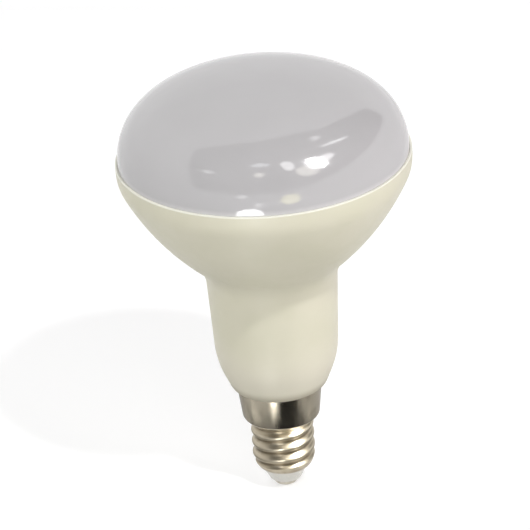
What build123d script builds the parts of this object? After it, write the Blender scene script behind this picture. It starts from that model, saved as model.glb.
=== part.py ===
from build123d import *
import os
from math import sqrt

# A reflector lamp: an opal diffuser on a flared plastic housing, with a small Edison screw cap.
# The lamp is sealed and opaque, so each piece is solid inside. Its axis is +Z, and the origin is
# the tip of the centre contact, where the cap comes to rest in a lamp holder.
# Sizes are in millimetres.

# Diffuser, and the rim of the housing that holds it
head_diameter = 63.0
dome_height = 17.5  # above the rim
dome_fullness = 0.65  # 0.55 gives an ellipse, and more gives a squarer shoulder
rim_band_height = 3.5  # upright band under the edge of the rim
rim_lip_width = 0.45  # lip that shows round the diffuser
rim_edge_radius = 0.2
flange_depth = 1.2  # how far the diffuser's flange sinks into the rim
flange_width = 2.0  # ledge that carries the flange
plug_depth = 3.0  # locating plug under the flange

# Housing
bowl_height = 22.5
bowl_side_radius = 60.0
bowl_rim_fillet = 8.0
bowl_neck_fillet = 8.0
neck_top_diameter = 28.7
neck_bottom_diameter = 26.7
neck_height = 22.1
shoulder_fillet = 20.0
shoulder_height = 7.2
foot_overhang = 1.0  # beyond the edge of the cap's skirt
foot_edge_radius = 1.8

# Screw cap
cap_height = 25.0  # from the contact's tip to the edge of the skirt
skirt_height = 7.4
skirt_flare = 0.85  # growth in radius from the foot of the skirt to its edge
skirt_wall = 0.5
step_height = 2.2
step_width = 1.55  # from the thread's crest out to the foot of the skirt
step_edge_radius = 0.8

# Round Edison thread, right-handed
thread_diameter = 13.89
thread_depth = 0.8
thread_pitch = 2.822
thread_root_flat = 0.4
thread_run_in = 3.75  # how far below the shell's edge the helix starts
thread_overlap = 0.4  # how deep the ridge reaches into the barrel

# Closed end of the cap
shell_edge_height = 4.6  # lower edge of the metal shell
shell_turn_in = 0.95  # from the thread's root in to the mouth of the shell
shell_round_height = 4.5
insulator_seat_depth = 3.0
insulator_tip_diameter = 7.0
insulator_edge_radius = 0.5
contact_diameter = 5.2
contact_height = 1.3
contact_edge_radius = 0.6
stem_diameter = 2.4
stem_length = 3.6

# Clearances
side_clearance = 0.05
end_clearance = 0.2

# Heights
step_z = cap_height - skirt_height - step_height
skirt_z = cap_height - skirt_height
shoulder_z = cap_height + shoulder_height
neck_top_z = shoulder_z + neck_height
band_z = neck_top_z + bowl_height
rim_z = band_z + rim_band_height
ledge_z = rim_z - flange_depth
plug_z = ledge_z - plug_depth
apex_z = rim_z + dome_height
seat_z = shell_edge_height + insulator_seat_depth

# Radii
head_radius = head_diameter / 2
rebate_radius = head_radius - rim_lip_width
dome_radius = rebate_radius - side_clearance
well_radius = rebate_radius - flange_width
thread_radius = thread_diameter / 2
root_radius = thread_radius - thread_depth
skirt_foot_radius = thread_radius + step_width
skirt_edge_radius = skirt_foot_radius + skirt_flare
foot_radius = skirt_edge_radius + foot_overhang
mouth_radius = root_radius - shell_turn_in

# The thread's crest and root are equal arcs that meet halfway up the flank
flank_radius = thread_radius - thread_depth / 2
flank_offset = thread_pitch / 4
arc_radius = ((thread_pitch / 2) ** 2 + thread_depth**2) / (4 * thread_depth)
thread_z = shell_edge_height - thread_run_in
thread_end_z = (step_z + skirt_z) / 2
barrel_foot_z = thread_z - thread_pitch
shell_top_z = skirt_z - end_clearance
envelope_radius = thread_radius + side_clearance


def root_arc(offset):
    """Radius of the thread's root at a distance from its lowest point, measured along the axis."""
    return root_radius + arc_radius - sqrt(arc_radius**2 - offset**2)


def corner(sketch, radius, height):
    """The corner of a section that lies nearest to a point of the section's plane."""
    return sketch.vertices().sort_by_distance((radius, height))[0]


# The barrel shows as a narrow flat between the turns, and the ridge ends a little under its surface
barrel_radius = root_arc(thread_root_flat / 2)
ridge_foot_radius = root_arc(thread_root_flat / 4)
ridge_half_width = thread_pitch / 2 - thread_root_flat / 4


# Diffuser: a dome on a flange, with a plug that centres it in the housing
with BuildPart() as diffuser:
    with BuildSketch(Plane.XZ):
        with BuildLine():
            crown = Bezier(
                (dome_radius, rim_z),
                (dome_radius, rim_z + dome_fullness * dome_height),
                (dome_fullness * dome_radius, apex_z),
                (0, apex_z),
            )
            Polyline(
                crown @ 1,
                (0, plug_z),
                (well_radius - side_clearance, plug_z),
                (well_radius - side_clearance, ledge_z),
                (dome_radius, ledge_z),
                crown @ 0,
            )
        make_face()
    revolve(axis=Axis.Z)

# Housing: one moulding, with the diffuser's ledge on top and a spigot for the cap below
with BuildPart() as housing:
    with BuildSketch(Plane.XZ) as housing_section:
        with BuildLine():
            bowl_side = RadiusArc(
                (neck_top_diameter / 2, neck_top_z),
                (head_radius, band_z),
                -bowl_side_radius,
            )
            Polyline(
                bowl_side @ 1,
                (head_radius, rim_z),
                (rebate_radius, rim_z),
                (rebate_radius, ledge_z),
                (well_radius, ledge_z),
                (well_radius, plug_z - end_clearance),
                (0, plug_z - end_clearance),
                (0, skirt_z + end_clearance),
                (skirt_foot_radius - skirt_wall - side_clearance, skirt_z + end_clearance),
                (skirt_edge_radius - skirt_wall - side_clearance, cap_height),
                (foot_radius, cap_height),
                (neck_bottom_diameter / 2, shoulder_z),
                bowl_side @ 0,
            )
        make_face()
        fillet(corner(housing_section, head_radius, rim_z), rim_edge_radius)
        fillet(corner(housing_section, head_radius, band_z), bowl_rim_fillet)
        fillet(corner(housing_section, neck_top_diameter / 2, neck_top_z), bowl_neck_fillet)
        fillet(corner(housing_section, neck_bottom_diameter / 2, shoulder_z), shoulder_fillet)
        fillet(corner(housing_section, foot_radius, cap_height), foot_edge_radius)
    revolve(axis=Axis.Z)

# Screw cap: a threaded barrel with a rounded end, a step and a flared skirt
with BuildPart() as screw_cap:
    with BuildSketch(Plane.XZ):
        with Locations((0, barrel_foot_z)):
            Rectangle(barrel_radius, skirt_z - barrel_foot_z, align=(Align.MIN, Align.MIN))
    revolve(axis=Axis.Z)

    with BuildLine() as thread_path:
        Helix(thread_pitch, thread_end_z - thread_z, flank_radius, center=(0, 0, thread_z))
    with BuildSketch(Plane.XZ):
        with BuildLine():
            crest = ThreePointArc(
                (flank_radius, thread_z - flank_offset),
                (thread_radius, thread_z),
                (flank_radius, thread_z + flank_offset),
            )
            upper_root = TangentArc(
                crest @ 1, (ridge_foot_radius, thread_z + ridge_half_width), tangent=crest % 1
            )
            lower_root = TangentArc(
                crest @ 0, (ridge_foot_radius, thread_z - ridge_half_width), tangent=-(crest % 0)
            )
            Polyline(
                upper_root @ 1,
                (barrel_radius - thread_overlap, thread_z + ridge_half_width),
                (barrel_radius - thread_overlap, thread_z - ridge_half_width),
                lower_root @ 1,
            )
        make_face()
    sweep(path=thread_path.line, is_frenet=True)

    with BuildSketch(Plane.XZ):
        with BuildLine():
            shell_round = EllipticalCenterArc(
                (mouth_radius, shell_edge_height + shell_round_height),
                envelope_radius - mouth_radius,
                shell_round_height,
                start_angle=270,
                arc_size=90,
            )
            Polyline(
                shell_round @ 1,
                (envelope_radius, shell_top_z),
                (0, shell_top_z),
                (0, shell_edge_height),
                shell_round @ 0,
            )
        make_face()
    revolve(axis=Axis.Z, mode=Mode.INTERSECT)

    with BuildSketch(Plane.XZ) as skirt_section:
        with BuildLine():
            Polyline(
                (0, step_z),
                (barrel_radius, step_z),
                (skirt_foot_radius, skirt_z),
                (skirt_edge_radius, cap_height),
                (skirt_edge_radius - skirt_wall, cap_height),
                (skirt_foot_radius - skirt_wall, skirt_z),
                (0, skirt_z),
                close=True,
            )
        make_face()
        fillet(corner(skirt_section, skirt_foot_radius, skirt_z), step_edge_radius)
    revolve(axis=Axis.Z)

    with BuildSketch(Plane.XZ):
        with Locations((0, shell_edge_height)):
            Rectangle(mouth_radius, insulator_seat_depth, align=(Align.MIN, Align.MIN))
    revolve(axis=Axis.Z, mode=Mode.SUBTRACT)

# Insulator: a blunt cone that closes the shell and carries the contact
with BuildPart() as cap_insulator:
    with BuildSketch(Plane.XZ) as insulator_section:
        with BuildLine():
            Polyline(
                (stem_diameter / 2 + side_clearance, contact_height),
                (insulator_tip_diameter / 2, contact_height),
                (mouth_radius - side_clearance, shell_edge_height),
                (mouth_radius - side_clearance, seat_z),
                (0, seat_z),
                (0, contact_height + stem_length + end_clearance),
                (stem_diameter / 2 + side_clearance, contact_height + stem_length + end_clearance),
                close=True,
            )
        make_face()
        fillet(corner(insulator_section, insulator_tip_diameter / 2, contact_height), insulator_edge_radius)
    revolve(axis=Axis.Z)

# Centre contact: a rivet with a flat tip
with BuildPart() as centre_contact:
    with BuildSketch(Plane.XZ) as contact_section:
        with BuildLine():
            Polyline(
                (0, 0),
                (contact_diameter / 2, 0),
                (contact_diameter / 2, contact_height),
                (stem_diameter / 2, contact_height),
                (stem_diameter / 2, contact_height + stem_length),
                (0, contact_height + stem_length),
                close=True,
            )
        make_face()
        fillet(corner(contact_section, contact_diameter / 2, 0), contact_edge_radius)
    revolve(axis=Axis.Z)

diffuser.part.label = "diffuser"
housing.part.label = "housing"
screw_cap.part.label = "screw_cap"
cap_insulator.part.label = "cap_insulator"
centre_contact.part.label = "centre_contact"

os.makedirs("parts", exist_ok=True)
export_step(diffuser.part, "parts/diffuser.step")
export_step(housing.part, "parts/housing.step")
export_step(screw_cap.part, "parts/screw_cap.step")
export_step(cap_insulator.part, "parts/cap_insulator.step")
export_step(centre_contact.part, "parts/centre_contact.step")
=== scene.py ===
from math import cos, pi, radians, sin, tan

import bpy
from mathutils import Matrix, Vector


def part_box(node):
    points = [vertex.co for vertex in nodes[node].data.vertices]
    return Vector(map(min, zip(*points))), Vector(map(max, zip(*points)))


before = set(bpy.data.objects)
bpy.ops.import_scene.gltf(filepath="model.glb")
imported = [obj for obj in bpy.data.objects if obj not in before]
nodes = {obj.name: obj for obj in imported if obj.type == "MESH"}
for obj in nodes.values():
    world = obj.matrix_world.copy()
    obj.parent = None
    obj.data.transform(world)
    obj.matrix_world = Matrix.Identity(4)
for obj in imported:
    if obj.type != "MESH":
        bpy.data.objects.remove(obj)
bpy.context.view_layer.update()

# A reflector bulb in a white studio. Lengths are in metres.
MM = 0.001

# Camera: a long lens, a little turned, for an image 530 pixels square
IMAGE_SIDE = 530
SENSOR_WIDTH = 36.0
FOCAL_PIXELS = 3306
CAMERA_DISTANCE = 0.700
CAMERA_ELEVATION = radians(24.7)
CAMERA_ROLL = radians(4.0)
NEAR_CLIP = 0.01
RIM_PIXEL = (263.3, 152.3)

# Sizes of the cap: its skirt and its thread
SKIRT_HEIGHT = 7.4 * MM
THREAD_RADIUS = 6.945 * MM
THREAD_DEPTH = 0.8 * MM
ROOT_RADIUS = THREAD_RADIUS - THREAD_DEPTH
CREST_BAND = 0.1 * MM
THREAD_MIDDLE_Z = 12 * MM

# Heights and places, taken from the frame
RIM_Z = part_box("housing")[1].z
EDGE_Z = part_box("screw_cap")[1].z
SKIRT_Z = EDGE_Z - SKIRT_HEIGHT
SKIRT_FOOT_Z = SKIRT_Z + 0.5 * MM
THREAD_TOP_Z = SKIRT_Z - 1 * MM
HEAD_CENTRE = Vector((0, 0, RIM_Z))
THREAD_CENTRE = Vector((0, 0, THREAD_MIDDLE_Z))

# Opal diffuser: linear colours, with a pale band of painted light at the rim, roughness, and what specks and
# scuffs add
OPAL = (0.435, 0.425, 0.43)
OPAL_THIN = (0.445, 0.435, 0.44)
OPAL_EDGE_LIGHT = (0.54, 0.53, 0.53)
OPAL_EDGE_LIGHT_HEIGHT = 1.2 * MM
OPAL_ROUGHNESS = (0.07, 0.10)
OPAL_IOR = 1.58
SPECK_SHARE = 0.12
SCUFF_ROUGHNESS = 0.08

# Cream housing: linear colours, roughness, and where painted light and painted shade change its tone
CREAM = (0.62, 0.60, 0.47)
# Paler cream, for random patches and for the painted light on the shoulder
CREAM_PALE = (0.67, 0.638, 0.525)
CREAM_LIP_HIGHLIGHT = (0.79, 0.78, 0.69)
# Warm brown, for the specks in the opal and for the painted shade at the housing's foot
CREAM_WARM = (0.36, 0.325, 0.24)
CREAM_ROUGHNESS = (0.38, 0.48)
CREAM_IOR = 1.5
CREAM_SPECULAR = 0.3
CLOUD_SHARE = 0.35
# Painted highlight: the band at the top of the lip that is painted paler
LIP_FOOT_Z = RIM_Z - 0.45 * MM
LIP_TOP_Z = RIM_Z - 0.1 * MM
# Painted light: the band where the shoulder is painted paler, and how much
SHOULDER_TOP_Z = EDGE_Z + 16 * MM
SHOULDER_FOOT_Z = EDGE_Z + 6 * MM
SHOULDER_LIGHT_SHARE = 0.9
# Painted shade: how far above the foot the housing is painted darker, and how much
FOOT_SHADE_TOP_Z = EDGE_Z + 3.2 * MM
FOOT_SHADE_SHARE = 0.95

# Nickel cap: linear colours, shares of tarnish and of painted shade, and roughness
NICKEL = (0.60, 0.545, 0.43)
NICKEL_TARNISH_AND_SHADE = (0.30, 0.25, 0.175)
ROOT_TARNISH_AND_SHADE = (0.45, 0.9)
# Painted shade: how much darker the whole thread is painted than the skirt
THREAD_PAINTED_SHADE = 0.42
FILM_IN_SMEARS = 0.54
SKIRT_ROUGHNESS = (0.17, 0.23)
THREAD_EXTRA_ROUGHNESS = 0.14

# Insulator and contact: linear colours and roughness
INSULATOR = (0.70, 0.69, 0.64)
INSULATOR_DUSTY = (0.61, 0.585, 0.52)
INSULATOR_ROUGHNESS = (0.22, 0.5)
CONTACT = (0.60, 0.56, 0.48)
CONTACT_DULL = (0.42, 0.38, 0.31)
CONTACT_ROUGHNESS = (0.30, 0.42)

# Bands of a noise's values: where most of it lies, and those that make each mark
NOISE_MIDDLE = (0.3, 0.7)
SPECKS = (0.72, 0.80)
SCUFFS = (0.68, 0.76)
TARNISH_AND_SHADE = (0.3, 0.6)
FILM = (0.5, 0.75)
DUST = (0.5, 0.75)
DULLNESS = (0.4, 0.7)

# Scales of a place along X, Y and Z, where marks run long along the axes with small ones
SCUFF_RUN = (1, 0.06, 0.3)
SMEAR_RUN = (1, 1, 0.5)
DRAWING_RUN = (0.04, 0.04, 1)

# Floor: it glows a little more from the near distance to the far one
FLOOR = (0.52, 0.52, 0.52)
FLOOR_ROUGHNESS = 0.9
FLOOR_HALF = 3.0
FLOOR_NEAR = 0.25
FLOOR_FAR = 1.0
FLOOR_GLOW = 0.55
FLOOR_GLOW_FAR = 0.80
CARD_Z = 0.5 * MM

# Lamps
LAMP_DISTANCE = 1.0
GRID_ANGLE = 60
WHITE = (1.0, 1.0, 1.0)
WARM = (1.0, 0.97, 0.86)
CREAMY = (1.0, 0.96, 0.45)
COOL = (0.92, 0.95, 1.0)
ROSY = (1.0, 0.91, 0.94)

# Room: a white horizon fades into the walls between two heights of a unit direction
BRIGHT_WALL = 1.05
DARK_WALL = 0.0
HORIZON = 1.0
HORIZON_TOP = 0.10
WALL_FOOT = 0.25

# The dark ceiling's edge: how far back each straight piece lies, per unit up and per unit to the right
CEILING_MIDDLE = (0.11, 0.0)
CEILING_RIGHT = (0.13, 0.55)
CEILING_FAR_RIGHT = (-0.343, 1.63)
CEILING_LEFT = (0.624, 0.79)
CEILING_SIDE = 2.4
CEILING_BLUR = 0.015


def add_node(tree, kind, sockets=None, **settings):
    """A node with these settings, its sockets set to values or wired to the outputs of other nodes."""
    node = tree.nodes.new(kind)
    for name, value in settings.items():
        setattr(node, name, value)
    for name, value in (sockets or {}).items():
        if isinstance(value, bpy.types.NodeSocket):
            tree.links.new(value, node.inputs[name])
        else:
            node.inputs[name].default_value = value
    return node


def combine(tree, operation, first, second):
    """One operation on two numbers."""
    return add_node(tree, "ShaderNodeMath", {0: first, 1: second}, operation=operation).outputs[0]


def ramp(tree, value, start, end, low=0.0, high=1.0):
    """A number that goes smoothly from low to high as value goes from start to end."""
    sockets = {"Value": value, "From Min": start, "From Max": end, "To Min": low, "To Max": high}
    return add_node(tree, "ShaderNodeMapRange", sockets, interpolation_type="SMOOTHSTEP").outputs["Result"]


def noise(tree, place, size, detail=2.0):
    """Noise whose patches are about that size."""
    sockets = {"Vector": place, "Scale": 1 / size, "Detail": detail}
    return add_node(tree, "ShaderNodeTexNoise", sockets).outputs["Fac"]


def patches(tree, place, size, low=0.0, high=1.0):
    """Soft patches of about that size, from low to high."""
    return ramp(tree, noise(tree, place, size), *NOISE_MIDDLE, low, high)


def turning_rings(tree, radius, width):
    """Noise that changes only with the distance from the axis."""
    sockets = {"W": radius, "Scale": 1 / width}
    return add_node(tree, "ShaderNodeTexNoise", sockets, noise_dimensions="1D").outputs["Fac"]


def blend(tree, factor, first, second):
    """A colour between two, each a colour or the output of another node."""
    mix = add_node(tree, "ShaderNodeMix", data_type="RGBA")
    factor_socket, first_socket, second_socket = mix.inputs[0], mix.inputs[6], mix.inputs[7]
    tree.links.new(factor, factor_socket)
    for socket, value in ((first_socket, first), (second_socket, second)):
        if isinstance(value, bpy.types.NodeSocket):
            tree.links.new(value, socket)
        else:
            socket.default_value = (*value, 1.0)
    return mix.outputs[2]


def bump(tree, height, depth, below=None):
    """Relief of that depth, alone or laid over other relief."""
    sockets = {"Height": height, "Strength": 1.0, "Distance": depth}
    if below:
        sockets["Normal"] = below
    return add_node(tree, "ShaderNodeBump", sockets).outputs["Normal"]


def place_on(tree):
    """Where a point lies, in the object's frame."""
    return add_node(tree, "ShaderNodeTexCoord").outputs["Object"]


def height_of(tree, place):
    """How high a place lies above the contact's tip."""
    return add_node(tree, "ShaderNodeSeparateXYZ", {0: place}).outputs["Z"]


def stretched(tree, place, factors):
    """A place with its axes scaled, for noise that runs in one direction."""
    return add_node(tree, "ShaderNodeVectorMath", {0: place, 1: factors}, operation="MULTIPLY").outputs[0]


def radius_of(tree, place):
    """How far a place lies from the axis."""
    flat = stretched(tree, place, (1, 1, 0))
    return add_node(tree, "ShaderNodeVectorMath", {0: flat}, operation="LENGTH").outputs["Value"]


def new_material(name):
    """A plain material, with its node tree and its shader."""
    material = bpy.data.materials.new(name)
    material.use_nodes = True
    return material, material.node_tree, material.node_tree.nodes["Principled BSDF"]


def wire(tree, shader, colour, roughness, relief):
    """Wires a colour, a roughness and a relief to the shader."""
    tree.links.new(colour, shader.inputs["Base Color"])
    tree.links.new(roughness, shader.inputs["Roughness"])
    tree.links.new(relief, shader.inputs["Normal"])


def wear(material, node):
    """Gives a CAD node this material alone."""
    slots = nodes[node].data.materials
    slots.clear()
    slots.append(material)


def opal_plastic():
    """Glossy opal moulding: milky, a little wavy, painted paler at the rim as painted light, with fine
    specks and hairline scuffs.
    """
    material, tree, shader = new_material("opal_plastic")
    place = place_on(tree)
    cloud = patches(tree, place, size=14 * MM)
    specks = ramp(tree, noise(tree, place, size=0.5 * MM), *SPECKS, high=SPECK_SHARE)
    # Painted light: the opal is painted paler in a band just above the rim, to offset the lip's shade there
    edge = ramp(tree, height_of(tree, place), start=RIM_Z + OPAL_EDGE_LIGHT_HEIGHT, end=RIM_Z)
    colour = blend(tree, cloud, OPAL, OPAL_THIN)
    colour = blend(tree, specks, colour, CREAM_WARM)
    colour = blend(tree, edge, colour, OPAL_EDGE_LIGHT)
    hairlines = noise(tree, stretched(tree, place, SCUFF_RUN), size=0.35 * MM)
    scuffs = ramp(tree, hairlines, *SCUFFS, high=SCUFF_ROUGHNESS)
    sheen = combine(tree, "ADD", patches(tree, place, 5 * MM, *OPAL_ROUGHNESS), scuffs)
    waves = bump(tree, noise(tree, place, size=16 * MM, detail=1.0), depth=0.05 * MM)
    ripple = bump(tree, noise(tree, place, size=5 * MM, detail=1.0), depth=0.02 * MM, below=waves)
    skin = bump(tree, noise(tree, place, size=0.8 * MM), depth=0.0012 * MM, below=ripple)
    wire(tree, shader, colour, sheen, skin)
    shader.inputs["IOR"].default_value = OPAL_IOR
    return material


def cream_plastic():
    """Satin moulding with a fine grain, with a painted highlight on the rim's lip, painted light on the
    shoulder, and painted shade at the foot.
    """
    material, tree, shader = new_material("cream_plastic")
    place = place_on(tree)
    height = height_of(tree, place)
    cloud = patches(tree, place, size=9 * MM, high=CLOUD_SHARE)
    # Painted light: the shoulder is painted paler, where it faces down and gets less light
    painted_shoulder_light = ramp(tree, height, start=SHOULDER_TOP_Z, end=SHOULDER_FOOT_Z, high=SHOULDER_LIGHT_SHARE)
    # Painted shade: the housing is painted darker and warmer towards its foot at the cap
    foot_shade = ramp(tree, height, start=FOOT_SHADE_TOP_Z, end=EDGE_Z, high=FOOT_SHADE_SHARE)
    # Painted highlight: the rim's lip is painted paler, as light catching its top
    lip_highlight = ramp(tree, height, start=LIP_FOOT_Z, end=LIP_TOP_Z)
    colour = blend(tree, cloud, CREAM, CREAM_PALE)
    colour = blend(tree, painted_shoulder_light, colour, CREAM_PALE)
    colour = blend(tree, foot_shade, colour, CREAM_WARM)
    colour = blend(tree, lip_highlight, colour, CREAM_LIP_HIGHLIGHT)
    satin = patches(tree, place, 2 * MM, *CREAM_ROUGHNESS)
    waves = bump(tree, noise(tree, place, size=12 * MM, detail=1.0), depth=0.02 * MM)
    grain = bump(tree, noise(tree, place, size=0.3 * MM, detail=3.0), depth=0.006 * MM, below=waves)
    wire(tree, shader, colour, satin, grain)
    shader.inputs["IOR"].default_value = CREAM_IOR
    shader.inputs["Specular IOR Level"].default_value = CREAM_SPECULAR
    return material


def nickel_plate():
    """Satin plate with fine drawing lines, a plain skirt, and a thread darkened by painted shade and smears
    of film, with tarnish and painted shade in its roots.
    """
    material, tree, shader = new_material("nickel_plate")
    place = place_on(tree)
    smears = noise(tree, stretched(tree, place, SMEAR_RUN), size=3 * MM, detail=3.0)
    on_thread = ramp(tree, height_of(tree, place), start=SKIRT_FOOT_Z, end=THREAD_TOP_Z)
    # Tarnish together with painted shade: the thread's roots are painted darker, partly as tarnish and
    # partly as the shade between the turns
    in_root = ramp(tree, radius_of(tree, place), start=THREAD_RADIUS - CREST_BAND, end=ROOT_RADIUS)
    root_tarnish_and_shade = combine(tree, "MULTIPLY", in_root, ramp(tree, smears, *TARNISH_AND_SHADE, *ROOT_TARNISH_AND_SHADE))
    # Painted shade: the whole thread is painted darker than the skirt, under the real smears of film
    thread_painted_shade = combine(tree, "MULTIPLY", on_thread, THREAD_PAINTED_SHADE)
    film_and_thread_shade = ramp(tree, smears, *FILM, low=thread_painted_shade, high=FILM_IN_SMEARS)
    colour = blend(tree, combine(tree, "MAXIMUM", root_tarnish_and_shade, film_and_thread_shade), NICKEL, NICKEL_TARNISH_AND_SHADE)
    worn = combine(tree, "MULTIPLY", on_thread, THREAD_EXTRA_ROUGHNESS)
    polish = combine(tree, "ADD", ramp(tree, smears, *NOISE_MIDDLE, *SKIRT_ROUGHNESS), worn)
    lines = noise(tree, stretched(tree, place, DRAWING_RUN), size=0.12 * MM)
    wire(tree, shader, colour, polish, bump(tree, lines, depth=0.0015 * MM))
    shader.inputs["Metallic"].default_value = 1.0
    return material


def pale_insulator():
    """Pale moulded insulator, slightly dusty."""
    material, tree, shader = new_material("pale_insulator")
    place = place_on(tree)
    dust = ramp(tree, noise(tree, place, size=0.9 * MM, detail=4.0), *DUST)
    colour = blend(tree, dust, INSULATOR, INSULATOR_DUSTY)
    roughness = ramp(tree, dust, 0.0, 1.0, *INSULATOR_ROUGHNESS)
    grain = bump(tree, noise(tree, place, size=0.4 * MM, detail=3.0), depth=0.006 * MM)
    wire(tree, shader, colour, roughness, grain)
    return material


def contact_metal():
    """Tinned rivet with turning rings round its tip."""
    material, tree, shader = new_material("contact_metal")
    place = place_on(tree)
    dull = ramp(tree, noise(tree, place, size=1.2 * MM, detail=3.0), *DULLNESS)
    colour = blend(tree, dull, CONTACT, CONTACT_DULL)
    roughness = ramp(tree, dull, 0.0, 1.0, *CONTACT_ROUGHNESS)
    rings = turning_rings(tree, radius_of(tree, place), width=0.15 * MM)
    wire(tree, shader, colour, roughness, bump(tree, rings, depth=0.01 * MM))
    shader.inputs["Metallic"].default_value = 1.0
    return material


def matt_card(name, shade):
    """Matt grey of one shade."""
    material, _, shader = new_material(name)
    shader.inputs["Base Color"].default_value = (shade, shade, shade, 1.0)
    shader.inputs["Specular IOR Level"].default_value = 0.0
    return material


def floor_white():
    """Matt white that glows only to the eye and in reflections, so that it stays white and keeps shadows."""
    material, tree, shader = new_material("floor_white")
    ray = add_node(tree, "ShaderNodeLightPath").outputs
    reflected = combine(tree, "MAXIMUM", ray["Is Glossy Ray"], ray["Is Transmission Ray"])
    seen = combine(tree, "MAXIMUM", ray["Is Camera Ray"], reflected)
    radius = radius_of(tree, place_on(tree))
    glow = ramp(tree, radius, FLOOR_NEAR, FLOOR_FAR, FLOOR_GLOW, FLOOR_GLOW_FAR)
    tree.links.new(combine(tree, "MULTIPLY", seen, glow), shader.inputs["Emission Strength"])
    shader.inputs["Emission Color"].default_value = (1, 1, 1, 1)
    shader.inputs["Base Color"].default_value = (*FLOOR, 1.0)
    shader.inputs["Roughness"].default_value = FLOOR_ROUGHNESS
    shader.inputs["Specular IOR Level"].default_value = 0.0
    return material


def add_flat(name, left, right, front, back, height, material):
    """A level rectangle for the stage."""
    corners = [(left, front, height), (right, front, height), (right, back, height), (left, back, height)]
    mesh = bpy.data.meshes.new(name)
    mesh.from_pydata(corners, [], [(0, 1, 2, 3)])
    mesh.materials.append(material)
    flat = bpy.data.objects.new(name, mesh)
    bpy.context.scene.collection.objects.link(flat)
    return flat


def add_floor():
    """The floor, which takes the bulb's shadow."""
    floor = add_flat("floor", -FLOOR_HALF, FLOOR_HALF, -FLOOR_HALF, FLOOR_HALF, 0, floor_white())


def add_card(name, azimuth, width, near, far, shade):
    """A card on the floor beside the cap, between two distances from the axis, seen only in reflections."""
    card = add_flat(name, -width / 2, width / 2, -far, -near, CARD_Z, matt_card(name, shade))
    card.rotation_euler.z = radians(azimuth)
    card.visible_camera = False
    card.visible_diffuse = False
    card.visible_transmission = False
    card.visible_shadow = False


def direction(azimuth, elevation):
    """Unit vector, with azimuth in degrees from the camera's side towards +X."""
    turn, rise = radians(azimuth), radians(elevation)
    return Vector((sin(turn) * cos(rise), -cos(turn) * cos(rise), sin(rise)))


def add_lamp(
    name, azimuth, elevation, width, height, radiance,
    tint=WHITE, roll=0.0, distance=LAMP_DISTANCE, aim=HEAD_CENTRE,
):
    """An oval lamp that faces a place, its width and height in degrees as that place sees them."""
    towards = direction(azimuth, elevation)
    size_x = 2 * distance * tan(radians(width) / 2)
    size_y = 2 * distance * tan(radians(height) / 2)
    area = pi / 4 * size_x * size_y
    data = bpy.data.lights.new(name, "AREA")
    data.shape = "ELLIPSE"
    data.size = size_x
    data.size_y = size_y
    data.color = tint
    data.energy = radiance * pi * area
    lamp = bpy.data.objects.new(name, data)
    turn = towards.to_track_quat("Z", "Y").to_matrix().to_4x4() @ Matrix.Rotation(radians(roll), 4, "Z")
    lamp.matrix_world = Matrix.Translation(aim + towards * distance) @ turn
    lamp.visible_camera = False
    bpy.context.scene.collection.objects.link(lamp)
    return lamp


def add_fill(*facts):
    """A lamp that lights surfaces and leaves no mirror image on them."""
    add_lamp(*facts).visible_glossy = False


def add_glint(*facts, **options):
    """A lamp that shows only as a mirror image on glossy surfaces."""
    lamp = add_lamp(*facts, **options)
    lamp.visible_diffuse = False
    return lamp


def add_grid(lamp, angle):
    """A grid that keeps a lamp's light within an angle, as bright as before straight ahead."""
    half = radians(angle) / 2
    lamp.data.spread = 2 * half
    lamp.data.energy *= 1 - half / tan(half)


def ceiling_line(tree, right, up, per_up, per_right):
    """How far back a straight edge of the ceiling lies, for each direction."""
    rise = combine(tree, "MULTIPLY", up, per_up)
    return combine(tree, "ADD", rise, combine(tree, "MULTIPLY", right, per_right))


def add_world():
    """A white room, with a dark ceiling in front of the bulb whose edge is bent."""
    world = bpy.data.worlds.new("studio")
    world.use_nodes = True
    tree = world.node_tree
    towards = add_node(tree, "ShaderNodeTexCoord").outputs["Generated"]
    right, back, up = add_node(tree, "ShaderNodeSeparateXYZ", {0: towards}).outputs
    edge = ceiling_line(tree, right, up, *CEILING_MIDDLE)
    edge = combine(tree, "MAXIMUM", edge, ceiling_line(tree, right, up, *CEILING_RIGHT))
    edge = combine(tree, "MAXIMUM", edge, ceiling_line(tree, right, up, *CEILING_FAR_RIGHT))
    edge = combine(tree, "MINIMUM", edge, ceiling_line(tree, right, up, *CEILING_LEFT))
    beyond_edge = combine(tree, "SUBTRACT", back, edge)
    beyond_side = combine(tree, "SUBTRACT", right, combine(tree, "MULTIPLY", up, CEILING_SIDE))
    beyond = combine(tree, "MAXIMUM", beyond_edge, beyond_side)
    walls = ramp(tree, beyond, -CEILING_BLUR, CEILING_BLUR, DARK_WALL, BRIGHT_WALL)
    high_part = combine(tree, "MULTIPLY", ramp(tree, up, HORIZON_TOP, WALL_FOOT), walls)
    low_part = ramp(tree, up, WALL_FOOT, HORIZON_TOP, high=HORIZON)
    background = tree.nodes["Background"]
    tree.links.new(combine(tree, "ADD", high_part, low_part), background.inputs["Strength"])
    background.inputs["Color"].default_value = (1, 1, 1, 1)
    bpy.context.scene.world = world


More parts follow.
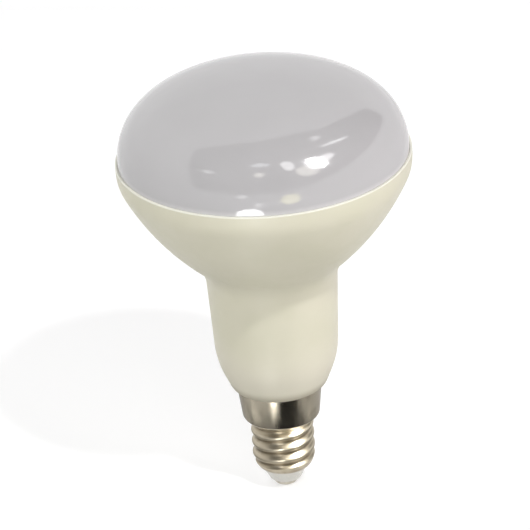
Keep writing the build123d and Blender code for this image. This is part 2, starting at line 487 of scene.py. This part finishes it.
def add_camera():
    """A long lens on the middle of the rim, turned so that the rim falls on its pixel."""
    forward = Vector((0, cos(CAMERA_ELEVATION), -sin(CAMERA_ELEVATION)))
    right = Vector((1, 0, 0))
    up = right.cross(forward)
    turned_right = right * cos(CAMERA_ROLL) + up * -sin(CAMERA_ROLL)
    turned_up = right * sin(CAMERA_ROLL) + up * cos(CAMERA_ROLL)
    across = IMAGE_SIDE / 2 - RIM_PIXEL[0]
    down = IMAGE_SIDE / 2 - RIM_PIXEL[1]
    aim = (forward * FOCAL_PIXELS + turned_right * across - turned_up * down).normalized()
    side = aim.cross(turned_up).normalized()
    top = side.cross(aim)
    data = bpy.data.cameras.new("camera")
    data.sensor_width = SENSOR_WIDTH
    data.lens = SENSOR_WIDTH * FOCAL_PIXELS / IMAGE_SIDE
    data.clip_start = NEAR_CLIP
    camera = bpy.data.objects.new("camera", data)
    turn = Matrix((side, top, -aim)).transposed().to_4x4()
    camera.matrix_world = Matrix.Translation(HEAD_CENTRE - forward * CAMERA_DISTANCE) @ turn
    bpy.context.scene.collection.objects.link(camera)
    bpy.context.scene.camera = camera


wear(opal_plastic(), "diffuser")
wear(cream_plastic(), "housing")
wear(nickel_plate(), "screw_cap")
wear(pale_insulator(), "cap_insulator")
wear(contact_metal(), "centre_contact")

add_world()
add_floor()

# Cards that the cap mirrors: azimuth in degrees, width, near and far edge, shade
add_card("black_card", 20, 40 * MM, 12 * MM, 85 * MM, 0.003)
add_card("grey_card_left", -51, 34 * MM, 31 * MM, 85 * MM, 0.53)
add_card("dark_card_left", -70, 44 * MM, 12 * MM, 30 * MM, 0.22)
add_card("grey_card_right", 70, 34 * MM, 31 * MM, 85 * MM, 0.47)
add_card("dark_card_right", 85, 44 * MM, 12 * MM, 30 * MM, 0.30)
add_card("grey_card_far_left", -130, 80 * MM, 24 * MM, 50 * MM, 0.5)
add_card("grey_card_far_right", 130, 80 * MM, 24 * MM, 50 * MM, 0.5)

# Lamps that light the surfaces: azimuth, elevation, width and height in degrees, radiance
add_fill("key", 33, 52.6, 3, 3.4, 520.0)
add_fill("fill_left", -90, 55, 50, 50, 1.1)
add_fill("low_right", 80, 15, 40, 25, 3.4, ROSY)
add_fill("low_front", 15, 8, 40, 20, 6.3)
add_fill("low_left", -70, 10, 40, 20, 2.6)

# Glints on the diffuser, in the same order of values
add_glint("key_glare", 51.8, 44.4, 11, 18.5, 180.0, roll=7.4)
add_glint("tail", 65, 45.8, 12, 9, 7.0, roll=-15)
add_glint("second", 24.6, 52.5, 8, 16, 6.0)
add_glint("under_key", 38, 36.9, 14.5, 18.5, 4.0, WARM, 25)
add_glint("tube", 95.1, 53, 20, 3, 6.0, roll=-45)
add_glint("top", 106.4, 65.1, 6, 5, 3.0)
add_glint("left", -53.3, 39.9, 9, 6, 2.6)
add_glint("pale", -5.2, 59.5, 12, 6, 3.5, COOL)
add_glint("small_warm", -5.1, 43.2, 7, 8, 5.0, WARM)
add_glint("low_warm", 16.6, -2.3, 14.5, 15, 3.6, CREAMY, distance=0.3)
add_glint("faint", -18, 5.6, 9, 6, 2.5)
add_glint("faint_low", -5.6, -7.6, 7, 8, 2.5, distance=0.3)
add_glint("rim_glint", -12, -18.5, 18, 14, 12.0, distance=0.16)

# Glints on the cap
add_glint("cap_patch", -17, -62, 9, 6, 9.0, distance=0.088)
thread_side = add_glint("thread_side", 46, 14, 26, 44, 18.0, distance=0.064, aim=THREAD_CENTRE)
add_grid(thread_side, GRID_ANGLE)
add_camera()

bpy.context.scene.view_settings.view_transform = "Standard"
